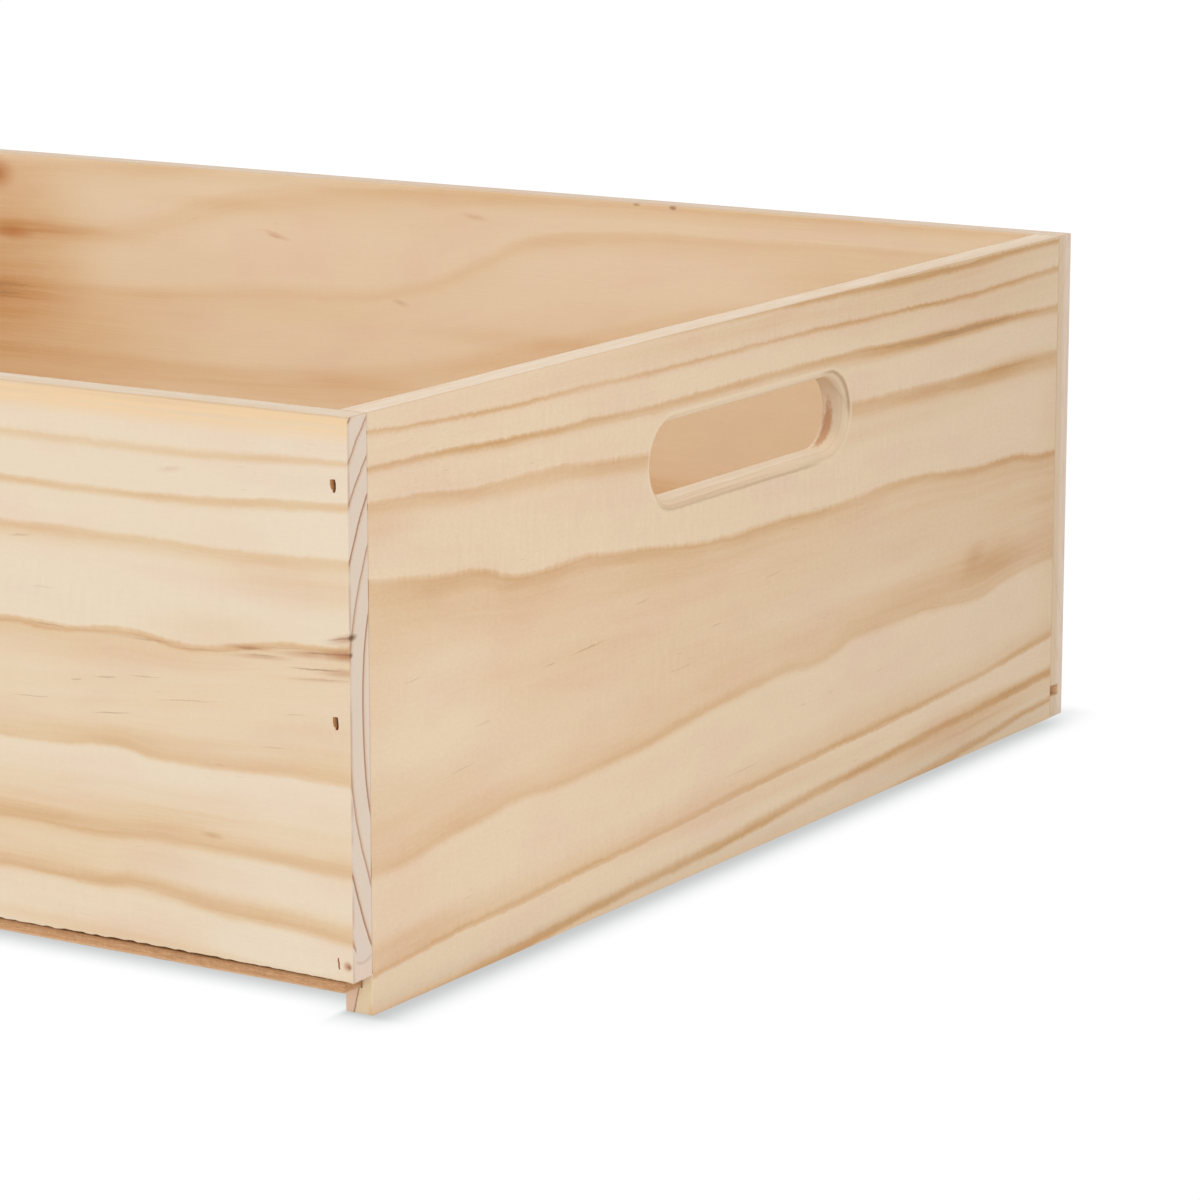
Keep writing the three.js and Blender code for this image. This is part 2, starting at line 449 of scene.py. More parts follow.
    # end grain: greyer, rings as thin dark arcs, fine pores
    arc = smooth(ring, 0.66, 0.93) * smooth(ring, 0.955, 1.0, 1.0, 0.0)
    thin = smooth(ring, 0.83, 0.93) * smooth(ring, 0.965, 1.0, 1.0, 0.0)
    cellular = swing((along * 0.3, depth * 3.2, high * 3.2), 2.0, 0.7)
    ray = swing((depth * 0.55, high * 5.0, along * 0.1), 1.0, 0.5)
    ends = mix(arc * 0.42, srgb(*cut_end), srgb(200, 156, 120))
    per_ring = node("TexWhiteNoise", {"W": index * 1.7 + seed}, noise_dimensions="1D")
    per_ring = Socket(per_ring.outputs["Value"])
    ends = mix(thin * (per_ring * 0.30 + 0.48), ends, srgb(150, 98, 66))
    ends = multiply(ends, grey(cellular * 0.14 + ray * 0.10 + blotch * 0.10 + 1.0))
    ends = mix(crack * smooth(depth, 0.4, 1.6, 0.7, 0.0), ends, srgb(118, 88, 60))
    colour = mix(end_grain, face, ends)

    # painted shade: up-facing faces get a greyer, darker tone that offsets the light from above
    top = smooth(normal[2], 0.6, 0.95)
    top_shade_mottle = smooth(noise((along * 0.05, depth * 1.3, 3.0), 2.0, 0.6), 0.42, 0.62)
    pale = mix(top_shade_mottle, srgb(197, 177, 152), srgb(205, 192, 178))
    colour = mix(top * 0.75, colour, pale)
    # painted shade: the rounded arris gets a darker warm tone, a painted shadow line
    arris = smooth(normal[2], 0.15, 0.5) * smooth(normal[2], 0.98, 0.85, 0.0, 1.0)
    colour = mix(arris * 0.55, colour, srgb(196, 166, 132))
    if details:
        colour = details(colour, along, depth, high, normal)

    # relief follows the plain board coordinates only
    (along, depth, high), _ = board_point(axes)
    relief = noise((along * 0.60, depth * 2.0, high * 1.5), 3.0, 0.75) * 0.035
    relief = relief + noise((along * 0.04, depth * 1.0, high * 1.4), 2.0, 0.6) * 0.045
    relief = relief + noise((along * 0.52, depth * 0.2, high * 0.11), 2.0, 0.6) * 0.04
    feed(surface, {
        "Base Color": colour,
        "Roughness": late * -0.08 + fibre * 0.12 + end_grain * 0.12 + 0.66,
        "Specular IOR Level": 0.25,
        "Normal": bump(relief),
    })
    return material


# The tables of the four boards:
#   LINES   ring number counted from the pith, side of the pith (-1 below, 1 above),
#           [(along, high), ...], (strength, band, fade, fade strength, softness).
#           Side 0 is the pith line: its first entry is its level, and it has no profile.
#   CRACKS, STAINS   along, high, half length, half height, angle, amount
#   tints, chatter   along, high, half length, half height, amount

# ---- front board: outer face y = -200, along is 0 at its +X end ------------------------
FRONT_LINES = [
    (4, -1, wander([(-108, 12.5), (-60, 11.5), (0, 9)], 1), (0.1, 2.5, 3, 0.08, 0.9)),
    (3, -1, wander([(-108, 25.5), (-90, 25), (-80, 24.5), (-70, 25.5), (-60, 25), (-50, 23.5),
                    (-40, 22.5), (-20, 22), (0, 20.5)], 2), (0.21, 4.2, 9, 0.17, 0.9)),
    (2, -1, wander([(-108, 39), (-80, 38.4), (-60, 39.5), (-40, 39), (-20, 38.6), (0, 38)], 3),
     (0.22, 3.8, 12, 0.22, 0.9)),
    (1, -1, wander([(-108, 61), (-90, 61.3), (-75, 63), (-60, 61), (-40, 61), (-20, 62),
                    (0, 61.5)], 4, 8.0, 2.0), (0.07, 2.6, 12, 0.17, 0.8)),
    (80.0, 0, wander([(-108, 73), (-88, 74.2), (-60, 77), (-28, 80), (0, 82)], 5, 3.0, 1.0), None),
    (1, 1, wander([(-108, 93.5), (-90, 92.7), (-70, 94.3), (-50, 92.3), (-40, 93.2), (-30, 95),
                   (-20, 96.5), (-8, 96.8), (0, 98)], 6, -4.0, 2.0), (0.42, 1, 9, 0.14, 0.5)),
    (2, 1, wander([(-108, 119.3), (-60, 119.3), (-40, 118.7), (-20, 119), (0, 119.7)], 7),
     (0.2, 3, 9, 0.18, 0.7)),
    (3, 1, wander([(-108, 131), (-80, 130.6), (-50, 131), (-30, 132.2), (0, 134)], 8),
     (0.31, 2.4, 5, 0.12, 0.6)),
    (4, 1, wander([(-108, 143.3), (-80, 143), (-50, 143.2), (-20, 144.3), (0, 145)], 9),
     (0.25, 1.8, 4, 0.12, 0.7)),
    (5, 1, wander([(-108, 155.3), (-50, 155.6), (0, 155.2)], 10, 0.0, 0.5),
     (0.15, 1.2, 6, 0.26, 0.5)),
]
FRONT_CRACKS = [
    (1.5, 95.9, 8, 0.5, 2, 0.52), (-8, 95.2, 10, 0.34, 4, 0.42), (-2, 99.8, 6.5, 0.4, 12, 0.42),
    (0.3, 100.1, 1.8, 0.7, 0, 0.8), (-10.5, 90.9, 11, 0.34, 4, 0.5), (-9, 88.4, 14, 0.18, 4, 0.2),
    (-31, 94, 5.5, 0.5, 3, 0.34), (-27, 92.6, 7, 0.3, 3, 0.26), (-20, 95.2, 8, 0.25, 5, 0.26),
    (-62, 92.4, 10, 0.3, 1, 0.22), (-95, 92.7, 9, 0.35, -2, 0.24), (-48, 91.8, 8, 0.3, 3, 0.2),
    (-75, 71.7, 8.5, 0.22, 5, 0.4), (-51, 77.9, 13, 0.2, 5, 0.32), (-64, 82.6, 7, 0.2, 4, 0.3),
    (-77, 81, 5, 0.36, 5, 0.28), (-86.5, 79.2, 2.4, 0.36, 6, 0.32), (-101, 73, 9, 0.2, 3, 0.28),
    (-24, 69, 5.5, 0.24, 4, 0.2), (-17, 78.4, 6, 0.2, 4, 0.18), (-104, 115.5, 5, 0.36, 6, 0.24),
    (-97, 102.6, 6, 0.22, 2, 0.16), (-1.1, 14.6, 0.75, 0.9, 0, 0.6),
]
FRONT_STAINS = [
    (-1.7, 14.8, 1.9, 1.9, 0, 0.9), (-43.5, 43.3, 5, 1.2, 0, 0.38), (-55, 137.6, 6, 1.2, 8, 0.2),
    (-31, 94.2, 12, 1.2, 2, 0.5), (-27, 92.2, 13, 1, 3, 0.42), (-70, 92.6, 26, 1, 0, 0.16),
    (-1, 95.5, 13, 2.3, 3, 0.95), (-12, 94.6, 14, 1.6, 4, 0.5), (1, 100.1, 11, 1.9, 12, 0.7),
    (-2, 90.9, 11, 1.7, 4, 0.5), (-8, 88.4, 15, 0.9, 4, 0.28),
]


def front_details(colour, along, depth, high, normal):
    """Torn fibre and painted shade in the brad slots, a warm top band, painted shade on the top
    edge and the markings of the +X end.
    """
    face_point = vec(along, high, 0.0)
    near = largest(*[
        smooth(oval(face_point, (x, level), (1.9, 2.6)), 0.8, 1.0, 1.0, 0.0)
        for x in (-BRAD_INSET, BRAD_INSET - 2 * HALF_X) for level in BRAD_LEVELS])
    inside = near * smooth(depth, 0.03, 0.14)
    # painted shade: slot walls go from torn-fibre tan at the face to near black deeper in
    slot_fibre_and_shade = mix(smooth(depth, 0.35, 1.6), srgb(206, 146, 84), srgb(62, 38, 22))
    colour = mix(inside, colour, slot_fibre_and_shade)

    warm = (smooth(high, 147.5, 152.5) * smooth(high, 155.9, 155.2)
            * smooth(normal[1], -0.5, -0.9))
    broken = noise((along * 0.014, high * 0.5, 6.0), 2.0, 0.6)
    warm = warm * smooth(broken, 0.30, 0.55, 0.35, 0.85)
    colour = mix(warm, colour, srgb(230, 199, 158))

    # two dark spots where the cracks run out over the end
    end = smooth(normal[0], 0.4, 0.8)
    upper_spot = oval(vec(depth, high, 0.0), (0.6, 100.1), (3.4, 1.35))
    lower_spot = oval(vec(depth, high, 0.0), (0.3, 95.6), (1.3, 1.0))
    spot = largest(smooth(upper_spot, 0.1, 1.0, 0.9, 0.0), smooth(lower_spot, 0.2, 1.0, 0.7, 0.0))

    # a faint line beside the outer face
    edge_line = (smooth(depth, 0.35, 1.0, 0.35, 0.0)
                 * smooth(noise((0.0, high * 0.06, 4.0), 2.0, 0.5), 0.42, 0.6))
    colour = mix(end * edge_line, colour, srgb(168, 118, 96))

    # the low corner of the end is plain but for one curved ring
    plain = end * smooth(high + depth * 1.37, 28.6, 27.0) * smooth(depth, 0.9, 1.8)
    bowl = (depth - 4.4) * (depth - 4.4) * 0.09 + 15.2
    bowl_line = smooth(abs(high - bowl), 0.0, 0.7, 0.34, 0.0)
    base = mix(smooth(high, 17.0, 13.0), srgb(216, 199, 184), srgb(222, 198, 180))
    colour = mix(plain, colour, mix(bowl_line, base, srgb(176, 138, 116)))

    # the top edge: painted shade darkens the top face against the light from above, and brown
    # painted shadow lines run along its two arrises
    rim = smooth(high, 155.2, 155.7)
    colour = multiply(colour, (0.955, 0.94, 0.92, 1.0), rim * smooth(normal[2], 0.5, 0.9))
    rim_shadow_lines = largest(smooth(depth, 7.75, 8.2), smooth(depth, 0.42, 0.12) * 0.6)
    colour = mix(rim * rim_shadow_lines * 0.6, colour, srgb(196, 160, 118))
    return mix(end * spot, colour, srgb(104, 78, 52))


front_pine = pine(
    "pine_front_board",
    axes=[(0, 1.0, -HALF_X), (1, 1.0, HALF_Y), (2, 1.0, 0.0)],
    reach=(-600.0, 0.0),
    rings=(80.0, 100.0, 101.1, 6.1),
    lines=FRONT_LINES,
    zones=[(0.0, 0.14), (0.25, 0.13), (0.5, 0.15), (0.85, 0.13), (1.0, 0.13)],
    cracks=FRONT_CRACKS,
    stains=FRONT_STAINS,
    tones=((235, 215, 188), (228, 198, 160), (212, 168, 120)),
    gain=(0.90, 0.92, 0.94),
    seed=1.0,
    taper=[(-600, 0.84), (-470, 0.9), (-330, 0.96), (-220, 0.99), (-130, 1.0), (0, 1.0)],
    tints=[
        (-85, 66, 50, 5, 0.12), (-12, 111, 42, 8, 0.16), (-60, 45, 34, 6, 0.08),
        (-70, 88, 60, 6, 0.05), (-40, 8, 130, 24, 0.13), (-8, 136, 30, 24, -0.11),
        (-104, 39, 96, 24, 0.22), (-44, 48, 40, 10, 0.12), (-4, 45, 26, 16, 0.1),
        (-22, 15, 36, 9, -0.22), (-42, 97, 34, 8, 0.1),
    ],
    chatter=[(-88, 101, 30, 10, 1.2), (-40, 106, 22, 7, 0.5)],
    details=front_details,
    streak=0.05, grain=0.035, fuzz=0.085, ripple=0.045, jag=0.7,
    stain_tones=((166, 106, 68), (188, 136, 96)),
)

# ---- end boards: outer faces x = 300 and x = -300, along is y ----------------------------
END_TONES = ((230, 207, 177), (222, 191, 154), (204, 160, 108))
END_GAIN = (0.955, 0.94, 0.93)

RIGHT_LINES = [
    (4, -1, [(-200, -12), (-60, -9), (60, -4), (130, 1), (165, 4), (200, 6.5)],
     (0.35, 3, 4, 0.12, 0.6)),
    (3, -1, [(-200, -4), (-120, 0), (-80, 2), (-40, 3.5), (0, 5), (40, 7.4), (80, 9.2),
             (120, 11.6), (160, 13), (200, 14.5)], (0.41, 3.6, 6.5, 0.19, 0.8)),
    (2, -1, [(-200, 9.6), (-160, 12), (-120, 13), (-80, 14.5), (-40, 16), (0, 18), (40, 19.3),
             (80, 20), (120, 22), (160, 24.5), (200, 27.5)], (0.26, 1.5, 9, 0.34, 0.5)),
    (1, -1, [(-200, 36), (-180, 36), (-160, 38.5), (-140, 40), (-120, 41.5), (-100, 41),
             (-80, 41.5), (-60, 42), (-40, 44), (-20, 46), (0, 47), (20, 48), (35, 47),
             (50, 48.5), (60, 51), (80, 51), (100, 51), (120, 50), (140, 49), (160, 51.5),
             (180, 52.5), (200, 53)], (0.09, 3, 16, 0.13, 0.9)),
    (71.0, 0, [(-200, 70), (-120, 71.5), (-40, 71), (40, 71), (120, 71), (200, 71)], None),
    (1, 1, [(-200, 114), (-180, 112), (-160, 109), (-140, 107.3), (-125, 103), (-110, 102),
            (-90, 102.5), (-80, 101), (-60, 99), (-40, 96.5), (-20, 95), (0, 94.5), (20, 94.5),
            (40, 93.5), (60, 93.5), (80, 94.5), (100, 94), (120, 92), (140, 90.5), (160, 90.5),
            (180, 88), (200, 87)], (0.12, 3, 13, 0.17, 0.7)),
    (2, 1, [(-200, 133), (-170, 131.5), (-140, 129), (-115, 129), (-80, 126.5), (-56, 125),
            (0, 123.4), (58, 122), (80, 121.5), (100, 121), (140, 120.5), (200, 120)],
     (0.26, 4, 8, 0.16, 0.7)),
    (3, 1, [(-200, 142.2), (-160, 141.3), (-120, 139.5), (-80, 138.5), (-40, 138), (0, 138),
            (40, 137.6), (60, 137.6), (80, 136.5), (100, 135.7), (140, 135.6), (200, 134.2)],
     (0.38, 2.6, 6, 0.2, 0.6)),
    (4, 1, [(-200, 151.8), (-160, 149.5), (-120, 148.5), (-80, 148), (-40, 147.6), (0, 147.3),
            (40, 147), (80, 146), (120, 145.6), (160, 146), (200, 146.8)],
     (0.36, 1.9, 4.5, 0.18, 0.5)),
    (5, 1, [(-200, 160), (-60, 158.2), (0, 157), (60, 155.8), (120, 155.2), (160, 155.4),
            (200, 155.6)], (0.42, 2, 4, 0.14, 0.5)),
]
RIGHT_CRACKS = [
    (-88, 76.4, 11, 0.3, 3, 0.34), (-107, 75.4, 4, 0.32, 3, 0.26), (-60, 84.2, 6, 0.28, 3, 0.2),
    (-5, 24.8, 14, 0.28, 1.5, 0.2), (-140, 66, 6, 0.3, 2, 0.18), (12, 79, 7, 0.3, 3, 0.2),
    (-38, 61.5, 9, 0.26, 3, 0.2), (-150, 56, 7, 0.3, 2, 0.2), (-172, 84, 5, 0.3, 3, 0.2),
    (-20, 70, 4, 0.3, 3, 0.22),
]
RIGHT_STAINS = [
    (146, 58.5, 20, 6, -8, 0.2), (137, 61.5, 11, 7.5, 20, 0.4), (150, 57, 26, 3.5, 0, 0.22),
    (-124, 100.5, 12, 2.6, 0, 0.18), (165, 57, 32, 3, 4, 0.1),
]


def right_details(colour, along, depth, high, normal):
    """Router marks in the hand hole, the board's end near the front, its foot, painted light low
    on its outer face and painted shade towards the back.
    """
    ragged = swing((along * 0.6, depth * 1.6, high * 0.5), 2.0, 0.6)

    # paler cut wood inside the hole; away is the distance from its centre line
    past_centre = largest(abs(along) - 43.6, 0.0)
    above = high - HAND_Z
    away = calc("SQRT", past_centre * past_centre + above * above)
    cut = smooth(away, 13.7, 14.2, 1.0, 0.0)
    tool = noise((along * 0.012, depth * 2.4, high * 0.03), 2.0, 0.6)
    lines = smooth(tool, 0.50, 0.62, smooth(along, 34.0, 46.0, 0.0, 0.35),
                   smooth(along, 34.0, 46.0, 1.0, 0.65))
    cut_wood = mix(lines, srgb(232, 211, 181), srgb(212, 184, 150))
    colour = mix(cut * smooth(along, 38.0, 50.0, 0.45, 0.80), colour, cut_wood)

    # brown lines on the hole's lips
    off_lip = abs(away - smooth(high, 112.0, 122.0, 13.4, 12.6) + ragged * 0.6)
    lip = smooth(off_lip, 0.0, 0.85, 1.0, 0.0) * smooth(depth, 2.0, 3.2, 1.0, 0.0)
    low = smooth(high, 108.0, 112.0, 0.42, 0.0) * smooth(along, 30.0, 44.0, 1.0, 0.0)
    arc = smooth(along, 38.0, 47.0) * smooth(high, 116.0, 123.0) * 0.62
    colour = mix(lip * largest(low, arc), colour, srgb(160, 120, 76))

    # a scorched crescent on the hole's +Y end
    scorch = oval(vec(along, depth, high), (52.0, 6.1, 115.0), (10.0, 2.1, 11.0))
    burn = smooth(scorch + ragged * 0.7, 0.45, 1.0, 0.85, 0.0) * smooth(normal[1], 0.1, -0.5)
    colour = mix(burn, colour, mix(lines, srgb(204, 152, 110), srgb(158, 108, 72)))

    # the low part of the -Y end, with a slanting seam
    foot = smooth(normal[1], -0.5, -0.8) * smooth(high, 11.0, 11.6, 1.0, 0.0)
    seam = depth - (high * -0.235 + 5.9) + ragged * 0.5
    sides = mix(smooth(seam, -0.3, 0.3), srgb(234, 211, 175), srgb(230, 199, 173))
    corner = smooth(depth, 2.2, 0.4) * smooth(high, 4.0, 1.0) * 0.6
    sides = mix(corner, sides, srgb(226, 176, 124))
    sides = mix(smooth(abs(seam), 0.05, 0.42, 0.75, 0.0), sides, srgb(150, 104, 68))
    second = smooth(abs(seam + 0.9), 0.0, 0.3, 0.35, 0.0) * smooth(high, 4.0, 8.0)
    sides = mix(second, sides, srgb(150, 108, 74))
    colour = mix(foot, colour, sides)

    # painted light: the lowest 3 mm of the outer face are lightened and warmed, lifting the
    # contact shade at the floor
    floor_shade_lift = smooth(high, 3.2, 0.4) * smooth(normal[0], 0.2, 0.6)
    colour = multiply(colour, (1.09, 1.03, 0.95, 1.0), floor_shade_lift)
    # painted shade: darker towards the back, less so on the top edge
    far = ramp(along, -120.0, 190.0, 1.0, 0.84)
    far = far + (far * -1.0 + 1.03) * smooth(normal[2], 0.5, 0.9) * 0.8
    return multiply(colour, grey(far))


right_pine = pine(
    "pine_right_end_board",
    axes=[(1, 1.0, 0.0), (0, -1.0, HALF_X), (2, 1.0, 0.0)],
    reach=(-HALF_Y, HALF_Y),
    rings=(71.0, 100.0, 103.0, 8.0),
    lines=RIGHT_LINES,
    zones=[(0.0, 0.17), (0.2, 0.19), (0.45, 0.15), (0.65, 0.15), (0.8, 0.18), (1.0, 0.18)],
    cracks=RIGHT_CRACKS,
    stains=RIGHT_STAINS,
    tones=END_TONES,
    gain=END_GAIN,
    seed=2.0,
    tints=[
        (105, 134.5, 80, 3.4, 0.4), (150, 14.5, 75, 4, 0.25), (110, 154.5, 80, 2.5, 0.2),
        (135, 118.2, 85, 5, 0.28), (-175, 16.5, 42, 7, 0.14), (140, 10.5, 80, 3.5, 0.18),
        (-100, 138, 60, 3, 0.08), (160, 120, 50, 4, 0.12), (-165, 84, 50, 13, -0.14),
        (110, 58, 80, 9, 0.14), (150, 60, 34, 9, 0.16), (-160, 106, 40, 6, 0.1),
        (-40, 90, 80, 7, 0.06), (170, 76, 50, 14, 0.07), (50, 152.5, 230, 6, 0.17),
        (100, 146, 100, 9, 0.13), (165, 141, 60, 9, 0.12), (-192, 126, 34, 7, 0.12),
        (-192, 107, 34, 14, -0.1), (126, 120, 34, 6, -0.12), (70, 112, 110, 5, 0.1),
        (-168, 68, 66, 15, -0.19), (-115, 55, 110, 15, -0.14), (60, 65, 80, 8, -0.11),
        (200, 66, 32, 80, 0.15), (-10, 15.5, 130, 5, 0.12), (115, 8, 80, 6, 0.24),
    ],
    chatter=[(-90, 122, 120, 34, 1.2), (60, 108, 120, 30, 0.7), (-40, 66, 130, 20, 0.5)],
    details=right_details,
    streak=0.072, grain=0.05, dashes=0.15, fuzz=0.20, ripple=0.065, jag=1.1,
)

LEFT_LINES = [
    (3, -1, [(-200, 6), (-100, 9), (0, 12), (100, 10), (200, 5)], (0.4, 2.4, 4, 0.16, 0.5)),
    (2, -1, [(-200, 24), (-120, 27), (-40, 31), (40, 30), (120, 26), (200, 22)],
     (0.42, 2.2, 6, 0.22, 0.5)),
    (1, -1, [(-200, 46), (-130, 50), (-60, 55), (0, 58), (70, 55), (140, 50), (200, 45)],
     (0.26, 2.2, 12, 0.22, 0.45)),
    (78.0, 0, [(-200, 76), (-60, 78), (60, 78), (200, 76)], None),
    (1, 1, [(-200, 108), (-130, 104), (-60, 99), (0, 97), (70, 100), (140, 105), (200, 110)],
     (0.28, 2, 12, 0.22, 0.45)),
    (2, 1, [(-200, 130), (-120, 127), (-40, 124), (40, 124.5), (120, 128), (200, 131)],
     (0.42, 2.6, 6, 0.2, 0.5)),
    (3, 1, [(-200, 143.5), (-100, 141), (0, 139.5), (100, 141), (200, 144)],
     (0.5, 1.8, 4, 0.16, 0.5)),
    (4, 1, [(-200, 153), (-100, 151.5), (0, 150.5), (100, 151.5), (200, 153.5)],
     (0.46, 1.3, 4, 0.14, 0.5)),
]
left_pine = pine(
    "pine_left_end_board",
    axes=[(1, 1.0, 0.0), (0, 1.0, HALF_X), (2, 1.0, 0.0)],
    reach=(-HALF_Y, HALF_Y),
    rings=(78.0, 100.0, 102.8, 7.6),
    lines=LEFT_LINES,
    zones=[(0.0, 0.17), (0.5, 0.15), (1.0, 0.17)],
    cracks=[(60, 74, 12, 0.3, -2, 0.4), (-110, 81, 9, 0.3, 3, 0.35), (130, 66, 6, 0.35, -3, 0.3)],
    stains=[(-70, 70, 14, 5, 5, 0.2)],
    tones=END_TONES,
    gain=END_GAIN,
    seed=5.0,
    tints=[(40, 76, 90, 10, 0.08), (-120, 86, 60, 10, -0.08)],
    chatter=[(0, 110, 150, 30, 0.6)],
    streak=0.065, grain=0.045, fuzz=0.17, ripple=0.06, jag=1.6,
)

# ---- back board: drawn on its inner face y = 191.5, along is 0 at its +X end -------------
BACK_LINES = [
    (3, -1, wander([(-425, 12), (-240, 16), (0, 10)], 31), (0.3, 2.4, 5, 0.14, 0.8)),
    (2, -1, wander([(-425, 34), (-240, 38), (0, 30)], 32), (0.3, 2.4, 6, 0.16, 0.8)),
    (1, -1, wander([(-425, 58), (-300, 62), (-150, 58), (0, 52)], 33), (0.2, 2.4, 8, 0.16, 0.8)),
    (74.0, 0, wander([(-425, 72), (-300, 76), (-150, 78), (0, 76)], 34), None),
    (1, 1, wander([(-425, 86), (-340, 86), (-290, 88), (-250, 93), (-200, 104), (-170, 111),
                   (-140, 119), (-100, 126), (-50, 129), (0, 130)], 35),
     (0.03, 2.4, 12, 0.09, 2.2)),
    (2, 1, wander([(-425, 110), (-370, 110.5), (-340, 112), (-310, 115.3), (-270, 117),
                   (-245, 121), (-228, 127), (-214, 134), (-200, 140.5), (-170, 144.5),
                   (-130, 146), (-60, 147), (0, 148)], 36), (0.07, 2.4, 14, 0.15, 1.6)),
    (3, 1, wander([(-425, 131), (-400, 131.5), (-380, 132), (-360, 135), (-345, 140),
                   (-330, 145), (-315, 148.5), (-290, 151), (-250, 153.5), (-150, 155),
                   (0, 156)], 37, 0.0, 0.6), (0.08, 2.6, 9, 0.13, 1.9)),
    (4, 1, wander([(-425, 153), (-360, 157), (-300, 162), (-200, 166), (0, 168)], 38, 0.0, 0.5),
     (0.08, 2.4, 8, 0.12, 1.4)),
]
BACK_CRACKS = [
    (-142, 155.2, 2, 1.1, 0, 0.6), (-156, 155.4, 2, 0.9, 0, 0.45),
    (-304, 134.2, 3.5, 0.4, -14, 0.22), (-429, 148.5, 5, 3.6, 0, 0.45),
]
BACK_STAINS = [
    (-428, 148.5, 12, 8, 0, 0.95), (-421, 127.6, 14, 4.2, 0, 0.85), (-400, 129.6, 30, 3, 3, 0.2),
    (-303, 134.6, 8, 1.4, -14, 0.32), (-251, 114.9, 5, 1.4, -12, 0.28),
    (-220, 146.6, 8, 1.4, -6, 0.26),
]


def back_details(colour, along, depth, high, normal):
    """The sawn +X end, greyer towards the outer face, painted light on the walls of a notch in it,
    and painted shade on the top face.
    """
    end = smooth(normal[0], 0.25, 0.6)
    pale = mix(smooth(depth, 2.5, 5.5), srgb(210, 188, 160), srgb(219, 201, 186))
    cloud = noise((depth * 1.2, high * 0.12, 2.0), 2.0, 0.6)
    pale = mix(smooth(cloud, 0.5, 0.65) * 0.5, pale, srgb(206, 184, 168))
    colour = mix(end * 0.85, colour, pale)
    # painted light: the walls of the groove's open notch at the end get a pale warm tone that
    # lifts the shade in this recess
    notch = (smooth(high, 6.7, 6.9) * smooth(high, 10.6, 10.8, 1.0, 0.0)
             * smooth(depth, 5.45, 5.55, 1.0, 0.0) * smooth(along, -8.0, -4.0)
             * smooth(normal[0], 0.5, 0.3))
    colour = mix(notch * 0.85, colour, srgb(240, 206, 164))
    outside = smooth(depth, 6.5, 8.3) * smooth(normal[0], 0.6, 0.3)
    colour = multiply(colour, srgb(242, 234, 226), outside)
    colour = multiply(colour, (0.92, 0.90, 0.86, 1.0), end)
    # painted shade: the top face is darkened against the light from above
    return multiply(colour, (0.86, 0.82, 0.815, 1.0), smooth(normal[2], 0.4, 0.9))


back_pine = pine(
    "pine_back_board",
    axes=[(0, 1.0, -HALF_X), (1, 1.0, -INNER_Y), (2, 1.0, 0.0)],
    reach=(-600.0, 0.0),
    rings=(74.0, 100.0, 101.4, 7.0),
    lines=BACK_LINES,
    zones=[(0.0, 0.08), (0.5, 0.08), (1.0, 0.08)],
    cracks=BACK_CRACKS,
    stains=BACK_STAINS,
    tones=((229, 205, 174), (220, 186, 145), (202, 152, 100)),
    # painted light: the back board's gain is raised well above the others to offset the shade
    # inside the box
    gain=(1.12, 1.225, 1.30),
    seed=9.0,
    taper=[(-600, 0.88), (-480, 0.95), (-425, 1.0), (0, 1.0)],
    tints=[
        (-470, 92, 160, 34, 0.52), (-440, 106, 60, 5, 0.16), (-205, 106, 60, 5, 0.08),
        (-268, 85, 40, 5, 0.14), (-300, 134, 90, 12, -0.06), (-90, 68, 40, 3, 0.1),
        (-140, 62, 50, 4, 0.1), (-410, 129, 60, 5, 0.18), (-330, 144, 40, 4, 0.08),
        (-428, 124, 58, 42, 0.46), (-190, 154, 270, 6, 0.11), (-165, 132, 80, 13, -0.11),
        (-250, 120, 90, 16, -0.06), (-70, 134, 50, 12, 0.13), (-310, 80, 70, 7, 0.1),
        (-395, 72, 90, 7, 0.12), (-310, 62, 70, 7, -0.09),
    ],
    details=back_details,
    streak=0.06, grain=0.03, fuzz=0.055, ripple=0.02, dashes=0.05,
    stain_tones=((190, 120, 64), (202, 144, 92)),
    cut_end=(203, 178, 157),
)


